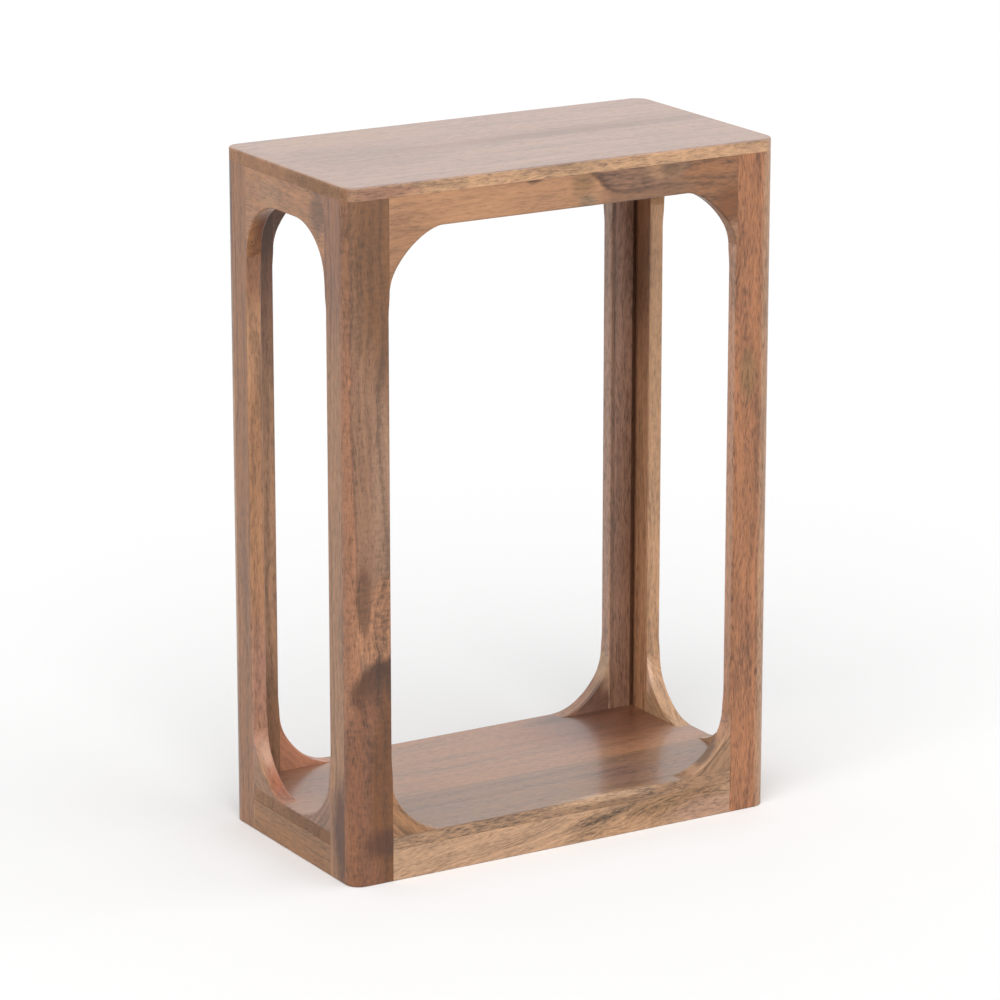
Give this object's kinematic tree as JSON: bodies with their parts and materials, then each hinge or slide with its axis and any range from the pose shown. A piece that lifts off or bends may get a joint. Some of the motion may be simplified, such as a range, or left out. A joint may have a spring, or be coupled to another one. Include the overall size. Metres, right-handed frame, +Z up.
{
  "type": "end table with shelf",
  "caption": "Slim solid-wood end table with a flush top, L-section legs, arched aprons, and a low shelf with hollowed corner brackets.",
  "frame": {"origin": "middle of the footprint, on the floor", "axes": "+X along the width to the right, +Y along the depth to the back, +Z up"},
  "size_m": [0.45, 0.23, 0.645],
  "materials": {
    "top_wood": "satin lacquer, pinkish beige",
    "shelf_wood": "satin lacquer, greyish pink",
    "leg_wood": "satin lacquer, mixed browns",
    "apron_wood": "satin lacquer, tan to brown",
    "rail_wood": "satin lacquer, light tan",
    "bracket_wood": "satin lacquer, light tan",
    "dowel_beech": "unfinished"
  },
  "bodies": {
    "root": {"back_apron": "apron_wood", "back_bracket_left": "bracket_wood", "back_bracket_right": "bracket_wood", "back_left_leg_face": "leg_wood", "back_left_leg_return": "leg_wood", "back_rail": "rail_wood", "back_right_leg_face": "leg_wood", "back_right_leg_return": "leg_wood", "front_apron": "apron_wood", "front_bracket_left": "bracket_wood", "front_bracket_right": "bracket_wood", "front_left_leg_face": "leg_wood", "front_left_leg_return": "leg_wood", "front_rail": "rail_wood", "front_right_leg_face": "leg_wood", "front_right_leg_return": "leg_wood", "left_apron": "apron_wood", "left_bracket_back": "bracket_wood", "left_bracket_front": "bracket_wood", "left_rail": "rail_wood", "right_apron": "apron_wood", "right_bracket_back": "bracket_wood", "right_bracket_front": "bracket_wood", "right_rail": "rail_wood", "shelf_back_board": "shelf_wood", "shelf_dowels": "dowel_beech", "shelf_front_board": "shelf_wood", "top_back_board": "top_wood", "top_dowels": "dowel_beech", "top_front_board": "top_wood"}
  },
  "joints": []
}
